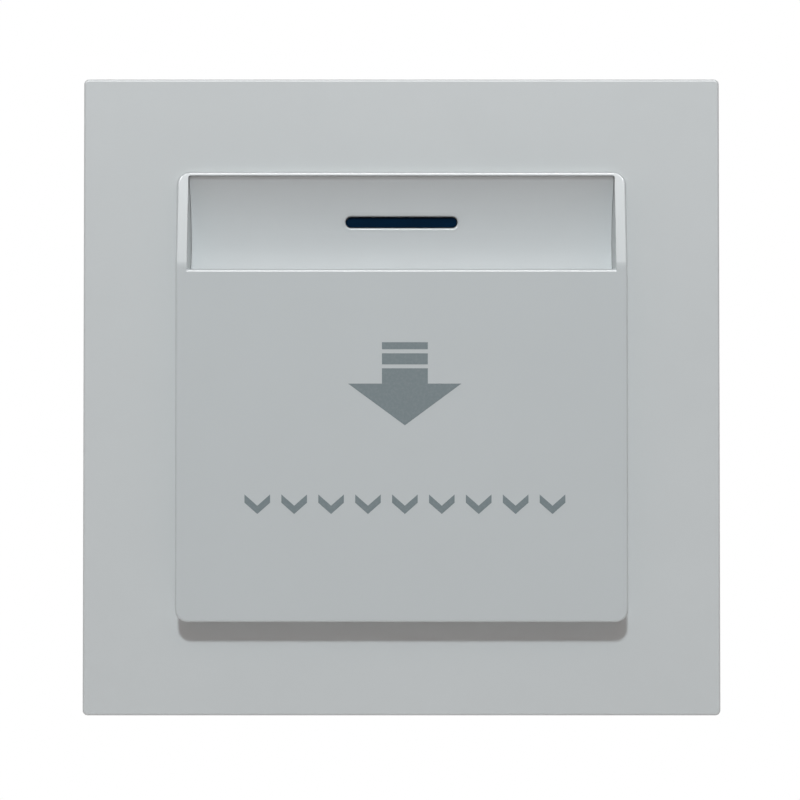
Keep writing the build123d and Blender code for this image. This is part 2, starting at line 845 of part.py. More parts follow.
relay_ceiling = relay_top - relay_wall
armature_front = relay_ceiling - armature_room
armature_rear = armature_front - armature_thickness
pole_front = armature_rear - pole_gap
foot_rear = board_front + relay_base_thickness
foot_front = foot_rear + iron_thickness
bobbin_front = pole_front - pole_thickness
upright_front = armature_rear - seat_gap
relay_inside_length = relay_length - 2 * relay_wall
relay_inside_width = relay_width - 2 * relay_wall
relay_contact_place = relay_inside_length / 2 - relay_contact_inset
coil_place = relay_contact_radius + coil_gap + bobbin_radius - relay_contact_place
upright_place = coil_place + bobbin_radius + iron_thickness
relay_leg_across = (upright_place + iron_thickness / 2 + relay_inside_length / 2) / 2
relay_leg_level = relay_inside_width / 2 - relay_row_inset
armature_reach = upright_place + relay_contact_place + relay_contact_radius
armature_length = armature_reach + iron_thickness / 2
contact_sweep = armature_reach * math.sin(math.radians(armature_swing))
relay_fixed_front = armature_rear - relay_contact_thickness - contact_sweep - seat_gap
foot_length = upright_place + iron_thickness / 2 - coil_place + pole_radius
relay_contact_spot = (-relay_contact_place, relay_level)
relay_leg_places = [
    relay_contact_spot,
    (relay_leg_across, relay_level),
    (relay_leg_across, relay_level - relay_leg_level),
    (relay_leg_across, relay_level + relay_leg_level),
]
pin_legs += relay_leg_places

with BuildPart() as relay_base:
    with BuildSketch(facing(board_front)):
        with Locations((0, relay_level)):
            Rectangle(relay_inside_length - 2 * seat_gap, relay_inside_width - 2 * seat_gap)
        with Locations(*relay_leg_places):
            Circle(pin_leg_radius + running_fit, mode=Mode.SUBTRACT)
    extrude(amount=relay_base_thickness)

relay_base.part.label = "relay_base"
export_step(relay_base.part, "parts/relay_base.step")

with BuildPart() as relay_cover:
    with BuildSketch(facing(board_front + relay_cover_lift)):
        with Locations((0, relay_level)):
            RectangleRounded(relay_length, relay_width, relay_cover_round)
    extrude(amount=relay_top - board_front - relay_cover_lift)
    fillet(relay_cover.faces().sort_by(Axis.Y)[0].edges(), radius=relay_cover_round / 2)
    with BuildSketch(facing(board_front + relay_cover_lift)):
        with Locations((0, relay_level)):
            Rectangle(relay_inside_length, relay_inside_width)
    extrude(amount=relay_ceiling - board_front - relay_cover_lift, mode=Mode.SUBTRACT)

relay_cover.part.label = "relay_cover"
export_step(relay_cover.part, "parts/relay_cover.step")

with BuildPart() as relay_frame:
    with BuildSketch(facing(foot_rear)):
        with Locations((upright_place + iron_thickness / 2 - foot_length / 2, relay_level)):
            Rectangle(foot_length, iron_width)
    extrude(amount=iron_thickness)
    with BuildSketch(facing(foot_rear)):
        with Locations((upright_place, relay_level)):
            Rectangle(iron_thickness, iron_width)
    extrude(amount=upright_front - foot_rear)

relay_frame.part.label = "relay_frame"
export_step(relay_frame.part, "parts/relay_frame.step")

with BuildPart() as relay_core:
    with BuildSketch(facing(foot_front)):
        with Locations((coil_place, relay_level)):
            Circle(core_radius)
    extrude(amount=pole_front - foot_front)
    with BuildSketch(facing(bobbin_front)):
        with Locations((coil_place, relay_level)):
            Circle(pole_radius)
    extrude(amount=pole_thickness)

relay_core.part.label = "relay_core"
export_step(relay_core.part, "parts/relay_core.step")

with BuildPart() as relay_bobbin:
    for flange_rear in (foot_front, bobbin_front - bobbin_flange):
        with BuildSketch(facing(flange_rear)):
            with Locations((coil_place, relay_level)):
                Circle(bobbin_radius)
        extrude(amount=bobbin_flange)
    with BuildSketch(facing(foot_front)):
        with Locations((coil_place, relay_level)):
            Circle(bobbin_tube_radius)
    extrude(amount=bobbin_front - foot_front)
    with BuildSketch(facing(foot_front)):
        with Locations((coil_place, relay_level)):
            Circle(core_radius + running_fit)
    extrude(amount=bobbin_front - foot_front, mode=Mode.SUBTRACT)

relay_bobbin.part.label = "relay_bobbin"
export_step(relay_bobbin.part, "parts/relay_bobbin.step")

with BuildPart() as relay_winding:
    with BuildSketch(facing(foot_front + bobbin_flange)):
        with Locations((coil_place, relay_level)):
            Circle(winding_radius)
            Circle(bobbin_tube_radius, mode=Mode.SUBTRACT)
    extrude(amount=bobbin_front - foot_front - 2 * bobbin_flange)

relay_winding.part.label = "relay_winding"
export_step(relay_winding.part, "parts/relay_winding.step")

with BuildPart() as relay_armature:
    with BuildSketch(facing(armature_rear)):
        with Locations((upright_place + iron_thickness / 2 - armature_length / 2, relay_level)):
            Rectangle(armature_length, armature_width)
    extrude(amount=armature_thickness)
    with BuildSketch(facing(armature_rear - relay_contact_thickness)):
        with Locations(relay_contact_spot):
            Circle(relay_contact_radius)
    extrude(amount=relay_contact_thickness)

relay_armature.part.label = "relay_armature"
export_step(relay_armature.part, "parts/relay_armature.step")

with BuildPart() as relay_pins:
    with BuildSketch(facing(lead_end)):
        with Locations(*relay_leg_places):
            Circle(pin_leg_radius)
    extrude(amount=foot_rear + pin_leg_radius - lead_end)
    with BuildSketch(facing(foot_rear)):
        with Locations(relay_contact_spot):
            Rectangle(2 * pin_leg_radius, 2 * relay_contact_radius)
    extrude(amount=relay_fixed_front - relay_contact_thickness - foot_rear)
    with BuildSketch(facing(relay_fixed_front - relay_contact_thickness)):
        with Locations(relay_contact_spot):
            Circle(relay_contact_radius)
    extrude(amount=relay_contact_thickness)

relay_pins.part.label = "relay_pins"
export_step(relay_pins.part, "parts/relay_pins.step")


# Other parts on the circuit board

# Electrolytic capacitor: an upright can with a bead near its foot and a cross scored in its top
can_height = 11.5
can_lift = 0.3
can_round = 0.6
bead_height = 1.6
bead_depth = 0.35
score_width = 0.4
score_depth = 0.2
can_leg_pitch = 3.5
can_rear = board_front + can_lift
can_legs = [(capacitor_place[0], capacitor_place[1] + side * can_leg_pitch / 2) for side in (-1, 1)]
round_legs += can_legs

with BuildPart() as electrolytic_capacitor:
    with BuildSketch(facing(can_rear)):
        with Locations(capacitor_place):
            Circle(capacitor_radius)
    extrude(amount=can_height)
    fillet(electrolytic_capacitor.edges(), radius=can_round)
    with BuildSketch(facing(can_rear + bead_height)):
        with Locations(capacitor_place):
            Circle(capacitor_radius + overrun)
            Circle(capacitor_radius - bead_depth, mode=Mode.SUBTRACT)
    extrude(amount=bead_depth, mode=Mode.SUBTRACT)
    with BuildSketch(facing(can_rear + can_height - score_depth)):
        with Locations(capacitor_place):
            Rectangle(capacitor_radius, score_width)
            Rectangle(score_width, capacitor_radius)
    extrude(amount=score_depth, mode=Mode.SUBTRACT)
    with BuildSketch(facing(lead_end)):
        with Locations(*can_legs):
            Circle(lead_radius)
    extrude(amount=can_rear + can_round - lead_end)

electrolytic_capacitor.part.label = "electrolytic_capacitor"
export_step(electrolytic_capacitor.part, "parts/electrolytic_capacitor.step")

# Film capacitor: an upright box
film_height = 12.0
film_round = 0.6
film_leg_inset = 1.5
film_leg_reach = film_length / 2 - film_leg_inset
film_legs = [(film_place[0], film_place[1] + side * film_leg_reach) for side in (-1, 1)]
round_legs += film_legs

with BuildPart() as film_capacitor:
    with BuildSketch(facing(board_front)):
        with Locations(film_place):
            Rectangle(film_width, film_length)
    extrude(amount=film_height)
    fillet(film_capacitor.edges().filter_by(Axis.Y), radius=film_round)
    fillet(film_capacitor.faces().sort_by(Axis.Y)[0].edges(), radius=film_round / 2)
    with BuildSketch(facing(lead_end)):
        with Locations(*film_legs):
            Circle(lead_radius)
    extrude(amount=board_front - lead_end)

film_capacitor.part.label = "film_capacitor"
export_step(film_capacitor.part, "parts/film_capacitor.step")

# Bridge rectifier: a flat block on four legs
rectifier_height = 3.3
rectifier_lift = 0.4
rectifier_round = 0.4
rectifier_leg_inset = 1.2
rectifier_legs = [
    (
        rectifier_place[0] + side * (rectifier_width / 2 - rectifier_leg_inset),
        rectifier_place[1] + end * (rectifier_length / 2 - rectifier_leg_inset),
    )
    for side in (-1, 1) for end in (-1, 1)
]
round_legs += rectifier_legs

with BuildPart() as bridge_rectifier:
    with BuildSketch(facing(board_front + rectifier_lift)):
        with Locations(rectifier_place):
            Rectangle(rectifier_width, rectifier_length)
    extrude(amount=rectifier_height)
    fillet(bridge_rectifier.faces().sort_by(Axis.Y)[0].edges(), radius=rectifier_round)
    with BuildSketch(facing(lead_end)):
        with Locations(*rectifier_legs):
            Circle(lead_radius)
    extrude(amount=board_front + rectifier_lift - lead_end)

bridge_rectifier.part.label = "bridge_rectifier"
export_step(bridge_rectifier.part, "parts/bridge_rectifier.step")

# Varistor: a coated disc on edge
varistor_thickness = (bay_width - part_gap) / 2
varistor_lift = 1.4
varistor_leg_pitch = 5.0
varistor_leg_reach = varistor_leg_pitch / 2
varistor_legs = [(varistor_place[0], varistor_place[1] + side * varistor_leg_reach) for side in (-1, 1)]
varistor_height = board_front + varistor_lift + varistor_radius
round_legs += varistor_legs

with BuildPart() as varistor:
    with BuildSketch(side_on(varistor_place[0] + varistor_thickness / 2)):
        with Locations((varistor_height, varistor_place[1])):
            Circle(varistor_radius)
    extrude(amount=varistor_thickness)
    fillet(varistor.edges(), radius=varistor_thickness / 3)
    with BuildSketch(facing(lead_end)):
        with Locations(*varistor_legs):
            Circle(lead_radius)
    extrude(amount=varistor_height - varistor_radius / 2 - lead_end)

varistor.part.label = "varistor"
export_step(varistor.part, "parts/varistor.step")

# Resistors: small barrels with bulged ends on bent leads
resistor_radius = 1.1
resistor_length = 6.3
resistor_waist = 0.15
resistor_bulge = 1.4
resistor_wire_radius = 0.25
resistor_height = board_front + resistor_radius + seat_gap
resistor_legs = [
    (place[0] + side * resistor_reach, place[1]) for place in resistor_places for side in (-1, 1)
]
round_legs += resistor_legs

with BuildPart() as resistors:
    for across, level in resistor_places:
        barrel_end = across + resistor_length / 2
        for start, length, radius in (
            (barrel_end, resistor_length, resistor_radius - resistor_waist),
            (barrel_end, resistor_bulge, resistor_radius),
            (barrel_end - resistor_length + resistor_bulge, resistor_bulge, resistor_radius),
            (across + resistor_reach, 2 * resistor_reach, resistor_wire_radius),
        ):
            with BuildSketch(side_on(start)):
                with Locations((resistor_height, level)):
                    Circle(radius)
            extrude(amount=length)
    with BuildSketch(facing(lead_end)):
        with Locations(*resistor_legs):
            Circle(lead_radius)
    extrude(amount=resistor_height + lead_radius - lead_end)

resistors.part.label = "resistors"
export_step(resistors.part, "parts/resistors.step")

# Control chip: a small flat body with four bent legs on each side, soldered on the board's face
chip_width = 3.9
chip_length = 4.9
chip_thickness = 1.4
chip_lift = 0.1
chip_leg_pitch = 1.27
chip_leg_width = 0.4
chip_leg_thickness = 0.2
chip_middle = board_front + chip_lift + chip_thickness / 2

with BuildPart() as control_chip:
    with BuildSketch(facing(board_front + chip_lift)):
        with Locations(chip_place):
            Rectangle(chip_width, chip_length)
    extrude(amount=chip_thickness)
    chamfer(control_chip.faces().sort_by(Axis.Y)[0].edges(), length=chip_leg_thickness)
    with BuildSketch(facing(board_front)):
        with Locations(chip_place):
            with GridLocations(chip_span - 2 * chip_leg_thickness, chip_leg_pitch, 2, 4):
                Rectangle(2 * chip_leg_thickness, chip_leg_width)
    extrude(amount=chip_leg_thickness)
    with BuildSketch(facing(board_front)):
        with Locations(chip_place):
            with GridLocations(chip_span - 3 * chip_leg_thickness, chip_leg_pitch, 2, 4):
                Rectangle(chip_leg_thickness, chip_leg_width)
    extrude(amount=chip_middle - board_front)
    with BuildSketch(facing(chip_middle - chip_leg_thickness)):
        with Locations(chip_place):
            with GridLocations((chip_span + chip_width) / 2 - chip_leg_thickness, chip_leg_pitch, 2, 4):
                Rectangle((chip_span - chip_width) / 2, chip_leg_width)
    extrude(amount=chip_leg_thickness)

control_chip.part.label = "control_chip"
export_step(control_chip.part, "parts/control_chip.step")


# Terminal block: four poles side by side, with the wires from below and the screws at the back

pole_pitch = 8.5
pole_count = 4
block_wall = 1.0
block_level_top = -13.4
terminal_level = -19.5
clamp_width = 6.0
clamp_height = 6.2
clamp_fit = 0.15
clamp_thread_wall = 1.4
clamp_front_wall = 0.8
clamp_window = 4.2
clamp_travel = 2.5
wire_space = 3.2
wire_entry_radius = 1.6
bar_width = 3.8
bar_thickness = 1.0
bar_leg_width = 2.4
bar_leg_rise = 4.3
terminal_screw_radius = 1.45
terminal_head_radius = 2.3
terminal_head_thickness = 1.8
terminal_access_radius = 2.1
terminal_lip = 0.5
terminal_slot_width = 0.7
terminal_slot_depth = 0.8
block_foot = 1.5

pole_places = [(index - (pole_count - 1) / 2) * pole_pitch for index in range(pole_count)]
block_half_width = pole_count * pole_pitch / 2 + block_wall / 2
block_level_bottom = -housing_side / 2
head_rear = housing_rear + terminal_lip + seat_gap
head_front = head_rear + terminal_head_thickness
chamber_rear = head_front + 2 * seat_gap
clamp_closed_rear = chamber_rear + 2 * seat_gap
clamp_rear = clamp_closed_rear + clamp_travel
clamp_thread_front = clamp_rear + clamp_thread_wall
screw_tip = clamp_thread_front + 2 * seat_gap
bar_rear = screw_tip + 2 * seat_gap
bar_front = bar_rear + bar_thickness
clamp_inner_front = bar_front + wire_space
clamp_front = clamp_inner_front + clamp_front_wall
wire_height = bar_front + wire_space / 2
bar_leg_level = terminal_level + bar_leg_rise
bar_room_level = bar_leg_level + (bar_thickness - bar_leg_rise) / 2
bar_length = bar_leg_rise + bar_thickness / 2 + clamp_height / 2
bar_end = board_front - running_fit
chamber_width = clamp_width + 2 * clamp_fit
chamber_height = clamp_height + 2 * (clamp_fit + running_fit)

with BuildPart() as terminal_block:
    with BuildSketch(facing(housing_rear)):
        with Locations((0, (block_level_top + block_level_bottom) / 2)):
            Rectangle(2 * block_half_width, block_level_top - block_level_bottom)
    extrude(amount=block_depth)
    with BuildSketch(facing(block_front)):
        with Locations((0, (block_level_top + block_level_bottom + housing_wall + block_foot) / 2)):
            with GridLocations(
                2 * block_half_width - block_foot,
                block_level_top - block_level_bottom - housing_wall - 2 * block_foot,
                2, 2,
            ):
                Rectangle(block_foot, block_foot)
    extrude(amount=solder_room)
    # Chambers for the clamps, open to the front, with room above them for the bars' legs
    with BuildSketch(facing(chamber_rear)):
        with Locations(*[(place, terminal_level) for place in pole_places]):
            Rectangle(chamber_width, chamber_height)
    extrude(amount=block_front - chamber_rear, mode=Mode.SUBTRACT)
    with BuildSketch(facing(bar_rear - seat_gap)):
        with Locations(*[(place, bar_room_level) for place in pole_places]):
            Rectangle(bar_width + 2 * seat_gap, bar_leg_rise + 2 * seat_gap)
    extrude(amount=block_front - bar_rear + seat_gap, mode=Mode.SUBTRACT)
    # Screw heads behind a narrower access hole, and round wire entries from below
    with BuildSketch(facing(head_rear - seat_gap)):
        with Locations(*[(place, terminal_level) for place in pole_places]):
            Circle(terminal_head_radius + 2 * seat_gap)
    extrude(amount=chamber_rear - head_rear + seat_gap, mode=Mode.SUBTRACT)
    with BuildSketch(facing(housing_rear)):
        with Locations(*[(place, terminal_level) for place in pole_places]):
            Circle(terminal_access_radius)
    extrude(amount=terminal_lip, mode=Mode.SUBTRACT)
    with BuildSketch(Plane.XY.offset(block_level_bottom)):
        with Locations(*[(place, -wire_height) for place in pole_places]):
            Circle(wire_entry_radius)
    extrude(amount=terminal_level - block_level_bottom, mode=Mode.SUBTRACT)

terminal_block.part.label = "terminal_block"
export_step(terminal_block.part, "parts/terminal_block.step")

with BuildPart() as terminal_bars:
    with BuildSketch(facing(bar_rear)):
        for place in pole_places:
            with Locations((place, bar_leg_level + bar_thickness / 2 - bar_length / 2)):
                Rectangle(bar_width, bar_length)
    extrude(amount=bar_thickness)
    with BuildSketch(facing(bar_rear)):
        with Locations(*[(place, bar_leg_level) for place in pole_places]):
            Rectangle(bar_width, bar_thickness)
    extrude(amount=block_front - bar_rear)
    with BuildSketch(facing(block_front)):
        with Locations(*[(place, bar_leg_level) for place in pole_places]):
            Rectangle(bar_leg_width, bar_thickness)
    extrude(amount=bar_end - block_front)

terminal_bars.part.label = "terminal_bars"
export_step(terminal_bars.part, "parts/terminal_bars.step")

for number, place in enumerate(pole_places, start=1):
    with BuildPart() as terminal_screw:
        with BuildSketch(facing(head_rear)):
            with Locations((place, terminal_level)):
                Circle(terminal_head_radius)
        extrude(amount=terminal_head_thickness)
        chamfer(terminal_screw.edges().sort_by(Axis.Y)[-1], length=terminal_slot_depth / 3)
        with BuildSketch(facing(head_front)):
            with Locations((place, terminal_level)):
                Circle(terminal_screw_radius)
        extrude(amount=screw_tip - head_front)
        with BuildSketch(facing(head_rear)):
            with Locations((place, terminal_level)):
                Rectangle(2 * terminal_head_radius, terminal_slot_width)
        extrude(amount=terminal_slot_depth, mode=Mode.SUBTRACT)
    terminal_screw.part.label = f"terminal_screw_{number}"
    export_step(terminal_screw.part, f"parts/terminal_screw_{number}.step")

    with BuildPart() as terminal_clamp:
        with BuildSketch(facing(clamp_rear)):
            with Locations((place, terminal_level)):
                Rectangle(clamp_width, clamp_height)
        extrude(amount=clamp_front - clamp_rear)
        with BuildSketch(facing(clamp_thread_front)):
            with Locations((place, terminal_level)):
                Rectangle(clamp_window, clamp_height)
        extrude(amount=clamp_inner_front - clamp_thread_front, mode=Mode.SUBTRACT)
        with BuildSketch(facing(clamp_rear)):
            with Locations((place, terminal_level)):
                Circle(terminal_screw_radius + running_fit)
        extrude(amount=clamp_thread_wall, mode=Mode.SUBTRACT)
    terminal_clamp.part.label = f"terminal_clamp_{number}"
    export_step(terminal_clamp.part, f"parts/terminal_clamp_{number}.step")


# Circuit board: square, with notched corners and a hole for every leg, bar and screw

column_side = 5.7
board_gap = 0.3
leg_clearance = 0.12
board_screw_radius = 1.2
board_screw_clearance = 0.2

board_side = 2 * (housing_inside - board_gap)
column_inner = housing_inside - column_side

with BuildPart() as circuit_board:
    with BuildSketch(facing(board_rear)):
        Rectangle(board_side, board_side)
        with GridLocations(2 * housing_inside, 2 * housing_inside, 2, 2):
            Rectangle(2 * (column_side + board_gap), 2 * (column_side + board_gap), mode=Mode.SUBTRACT)
        with Locations(*round_legs):
            Circle(lead_radius + lead_clearance, mode=Mode.SUBTRACT)
        with Locations(*pin_legs):
            Circle(pin_leg_radius + leg_clearance, mode=Mode.SUBTRACT)
        with Locations(*board_screw_places):
            Circle(board_screw_radius + board_screw_clearance, mode=Mode.SUBTRACT)
        with Locations(*[(place, bar_leg_level) for place in pole_places]):
            Rectangle(
                bar_leg_width + 2 * leg_clearance,
                bar_thickness + 2 * leg_clearance,
                mode=Mode.SUBTRACT,
            )
    extrude(amount=board_thickness)

circuit_board.part.label = "circuit_board"
export_step(circuit_board.part, "parts/circuit_board.step")


# Rear housing: the box in the wall box, with corner columns, board posts, vents and a cut-out

housing_corner = 2.0
housing_head_height = -8.0
housing_head_radius = 2.5
post_radius = 2.6
post_hole_length = 7.0
ledge_width = 10.0
ledge_depth = 1.2
vent_count = 4
vent_pitch = 3.6
vent_length = 12.0
vent_width = 1.6
vent_first_height = -12.6
block_fit = 0.25

housing_floor = housing_rear + housing_wall
cut_out_width = 2 * (block_half_width + block_fit)
cut_out_height = block_level_top + block_fit - block_level_bottom + overrun

with BuildPart() as rear_housing:
    with BuildSketch(facing(housing_rear)):
        RectangleRounded(housing_side, housing_side, housing_corner)
    extrude(amount=-housing_rear)
    fillet(rear_housing.faces().sort_by(Axis.Y)[-1].edges(), radius=housing_corner / 2)
    with BuildSketch(facing(housing_floor)):
        Rectangle(2 * housing_inside, 2 * housing_inside)
        with GridLocations(2 * housing_inside, 2 * housing_inside, 2, 2):
            Rectangle(2 * column_side, 2 * column_side, mode=Mode.SUBTRACT)
    extrude(amount=-housing_floor, mode=Mode.SUBTRACT)
    with BuildSketch(facing(housing_floor)):
        with Locations(*board_screw_places):
            Circle(post_radius)
        with Locations((0, housing_inside - ledge_depth / 2)):
            Rectangle(ledge_width, ledge_depth)
    extrude(amount=board_rear - housing_floor)
    with BuildSketch(facing(board_rear - post_hole_length)):
        with Locations(*board_screw_places):
            Circle(board_screw_radius + running_fit)
    extrude(amount=post_hole_length, mode=Mode.SUBTRACT)
    # Shank holes and deep head holes in the corner columns
    with BuildSketch(facing(housing_rear)):
        with GridLocations(2 * screw_place, 2 * screw_place, 2, 2):
            Circle(screw_radius + yoke_screw_clearance)
    extrude(amount=-housing_rear, mode=Mode.SUBTRACT)
    with BuildSketch(facing(housing_rear)):
        with GridLocations(2 * screw_place, 2 * screw_place, 2, 2):
            Circle(housing_head_radius + 2 * seat_gap)
    extrude(amount=housing_head_height - housing_rear, mode=Mode.SUBTRACT)
    # Cut-out for the terminal block through the back and the lower wall
    with BuildSketch(facing(housing_rear)):
        with Locations((0, block_level_top + block_fit - cut_out_height / 2)):
            Rectangle(cut_out_width, cut_out_height)
    extrude(amount=housing_wall, mode=Mode.SUBTRACT)
    with BuildSketch(facing(housing_rear)):
        with Locations((0, block_level_bottom)):
            Rectangle(cut_out_width, 2 * housing_wall)
    extrude(amount=block_front + block_fit - housing_rear, mode=Mode.SUBTRACT)
    # Vents through both side walls
    with BuildSketch(side_on(0)):
        for index in range(vent_count):
            with Locations((vent_first_height + index * vent_pitch, 0)):
                SlotOverall(vent_length, vent_width, rotation=90)
    extrude(amount=housing_side, both=True, mode=Mode.SUBTRACT)

rear_housing.part.label = "rear_housing"
export_step(rear_housing.part, "parts/rear_housing.step")


# Screws: four that join housing, yoke and pocket back, and two that hold the board

screw_head_thickness = 2.0
cross_length = 2.6
cross_width = 0.7
cross_depth = 1.2
board_head_radius = 2.2
board_head_thickness = 1.5
board_screw_length = 6.0

with BuildPart() as housing_screws:
    with BuildSketch(facing(housing_head_height - screw_head_thickness)):
        with GridLocations(2 * screw_place, 2 * screw_place, 2, 2):
            Circle(housing_head_radius)
    extrude(amount=screw_head_thickness)
    with BuildSketch(facing(housing_head_height)):
        with GridLocations(2 * screw_place, 2 * screw_place, 2, 2):
            Circle(screw_radius)
    extrude(amount=screw_tip_height - housing_head_height)
    with BuildSketch(facing(housing_head_height - screw_head_thickness)):
        with GridLocations(2 * screw_place, 2 * screw_place, 2, 2):
            Rectangle(cross_length, cross_width)
            Rectangle(cross_width, cross_length)
    extrude(amount=cross_depth, mode=Mode.SUBTRACT)

housing_screws.part.label = "housing_screws"
export_step(housing_screws.part, "parts/housing_screws.step")

with BuildPart() as board_screws:
    with BuildSketch(facing(board_front)):
        with Locations(*board_screw_places):
            Circle(board_head_radius)
    extrude(amount=board_head_thickness)
    with BuildSketch(facing(board_front - board_screw_length)):
        with Locations(*board_screw_places):
            Circle(board_screw_radius)
    extrude(amount=board_screw_length)
    with BuildSketch(facing(board_front + board_head_thickness - cross_width)):
        with Locations(*board_screw_places):
            Rectangle(cross_length, cross_width)
            Rectangle(cross_width, cross_length)
    extrude(amount=cross_width, mode=Mode.SUBTRACT)

board_screws.part.label = "board_screws"
export_step(board_screws.part, "parts/board_screws.step")
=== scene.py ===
"""Looks of the key card switch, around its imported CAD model. All lengths are in metres."""

import json
import math

import bmesh
import bpy
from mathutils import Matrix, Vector


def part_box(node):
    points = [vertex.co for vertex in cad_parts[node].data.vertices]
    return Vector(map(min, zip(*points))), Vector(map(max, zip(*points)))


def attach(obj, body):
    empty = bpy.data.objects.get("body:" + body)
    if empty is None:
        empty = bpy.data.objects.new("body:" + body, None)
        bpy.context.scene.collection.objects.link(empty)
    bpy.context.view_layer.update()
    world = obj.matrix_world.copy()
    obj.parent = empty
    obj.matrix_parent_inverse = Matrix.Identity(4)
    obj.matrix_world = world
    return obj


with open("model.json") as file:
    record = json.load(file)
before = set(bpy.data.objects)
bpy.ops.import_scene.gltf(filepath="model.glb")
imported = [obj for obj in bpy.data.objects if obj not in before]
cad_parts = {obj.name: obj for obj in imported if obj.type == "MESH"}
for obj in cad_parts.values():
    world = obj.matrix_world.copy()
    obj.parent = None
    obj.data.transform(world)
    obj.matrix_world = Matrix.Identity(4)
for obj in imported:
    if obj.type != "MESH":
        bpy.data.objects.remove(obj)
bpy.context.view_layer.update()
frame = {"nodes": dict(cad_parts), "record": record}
nodes = frame["nodes"]
MM = 0.001

# Sizes and heights of the details in the looks

cloud_size = 14 * MM
patch_size = 5 * MM
fine_grain = 0.12 * MM
coarse_grain = 0.25 * MM
grain_height = 0.0012 * MM
swell_height = 0.004 * MM
streak_width = 0.25 * MM
streak_height = 0.004 * MM
stain_size = 3 * MM
track_pitch = 3.4 * MM
track_height = 0.035 * MM
weave_size = 0.5 * MM
flow_line_size = 1.6 * MM
flow_line_height = 0.004 * MM
mottle_size = 0.35 * MM
mottle_height = 0.003 * MM
floor_cloud_size = 60 * MM

# The window's slot in the scooped panel, and how far from its middle line the mould is polished

window_level = 23.72 * MM
window_half_length = 6.8 * MM
polish_reach = 1.2 * MM
polish_end = 1.3 * polish_reach
polish_roughness = 0.15


class Tree:
    """The node tree of a material or world, with short calls to add and join nodes.

    A Mix node's inputs share their names, so mix and blend pick them by number.
    """

    def __init__(self, owner, place):
        owner.use_nodes = True
        self.owner = owner
        self.nodes = owner.node_tree.nodes
        self.links = owner.node_tree.links
        self.place = self.add("ShaderNodeTexCoord").outputs[place]

    def add(self, kind, **settings):
        node = self.nodes.new(kind)
        for key, value in settings.items():
            setattr(node, key, value)
        return node

    def join(self, source, target):
        self.links.new(source, target)

    def feed(self, value, target):
        """Join a socket to an input, or set the input to a number or a colour."""
        if isinstance(value, bpy.types.NodeSocket):
            self.join(value, target)
        elif isinstance(value, tuple):
            target.default_value = (*value, 1)
        else:
            target.default_value = value

    def axes(self):
        """The place's three coordinates, each as a socket of its own."""
        split = self.add("ShaderNodeSeparateXYZ")
        self.join(self.place, split.inputs["Vector"])
        return split.outputs

    def stretched(self, scale):
        """The place, scaled differently along each axis."""
        mapping = self.add("ShaderNodeMapping")
        mapping.inputs["Scale"].default_value = scale
        self.join(self.place, mapping.inputs["Vector"])
        return mapping.outputs["Vector"]

    def noise(self, size, detail, roughness=0.5, place=None):
        """Noise whose grains are about as large as size."""
        node = self.add("ShaderNodeTexNoise")
        node.inputs["Scale"].default_value = 1 / size
        node.inputs["Detail"].default_value = detail
        node.inputs["Roughness"].default_value = roughness
        self.join(place or self.place, node.inputs["Vector"])
        return node.outputs["Fac"]

    def math(self, operation, first, second=0.0):
        """One or two numbers worked out into one. Each may be a number or a socket."""
        node = self.add("ShaderNodeMath", operation=operation)
        self.feed(first, node.inputs[0])
        self.feed(second, node.inputs[1])
        return node.outputs["Value"]

    def span(self, value, low, high, start=0.3, end=0.7):
        """A value mapped from start..end to low..high."""
        node = self.add("ShaderNodeMapRange")
        node.inputs["From Min"].default_value = start
        node.inputs["From Max"].default_value = end
        node.inputs["To Min"].default_value = low
        node.inputs["To Max"].default_value = high
        self.join(value, node.inputs["Value"])
        return node.outputs["Result"]

    def mix(self, factor, first, second):
        """Two colours mixed by a factor. Each may be a colour or a socket."""
        node = self.add("ShaderNodeMix", data_type="RGBA")
        self.feed(factor, node.inputs[0])
        self.feed(first, node.inputs[6])
        self.feed(second, node.inputs[7])
        return node.outputs[2]

    def blend(self, factor, first, second):
        """Two numbers mixed by a factor. Each may be a number or a socket."""
        node = self.add("ShaderNodeMix", data_type="FLOAT")
        self.feed(factor, node.inputs[0])
        self.feed(first, node.inputs[2])
        self.feed(second, node.inputs[3])
        return node.outputs[0]

    def bump(self, height, distance, strength=1.0, after=None):
        node = self.add("ShaderNodeBump")
        node.inputs["Distance"].default_value = distance
        node.inputs["Strength"].default_value = strength
        self.join(height, node.inputs["Height"])
        if after:
            self.join(after, node.inputs["Normal"])
        return node.outputs["Normal"]


class Look(Tree):
    """A new material's node tree, placed in the object's own coordinates."""

    def __init__(self, name):
        super().__init__(bpy.data.materials.new(name), "Object")
        self.surface = self.nodes["Principled BSDF"].inputs

    def dress(self, colour, roughness, normal):
        """Join the three sockets to the surface, and give the finished material."""
        self.join(colour, self.surface["Base Color"])
        self.join(roughness, self.surface["Roughness"])
        self.join(normal, self.surface["Normal"])
        return self.owner


def darker(colour, share):
    return tuple(channel * share for channel in colour)


# Materials: each has its own colour drift and grain


def around_window(look, roughness):
    """Roughness with a polished zone around the window's slot, in the panel's coordinates."""
    axes = look.axes()
    past_end = look.math("SUBTRACT", look.math("ABSOLUTE", axes["X"]), window_half_length)
    offset = look.add("ShaderNodeCombineXYZ")
    look.join(look.math("MAXIMUM", past_end), offset.inputs["X"])
    look.join(look.math("SUBTRACT", axes["Z"], window_level), offset.inputs["Z"])
    far = look.add("ShaderNodeVectorMath", operation="LENGTH")
    look.join(offset.outputs["Vector"], far.inputs[0])
    outside = look.span(far.outputs["Value"], 0, 1, polish_reach, polish_end)
    return look.blend(outside, polish_roughness, roughness)


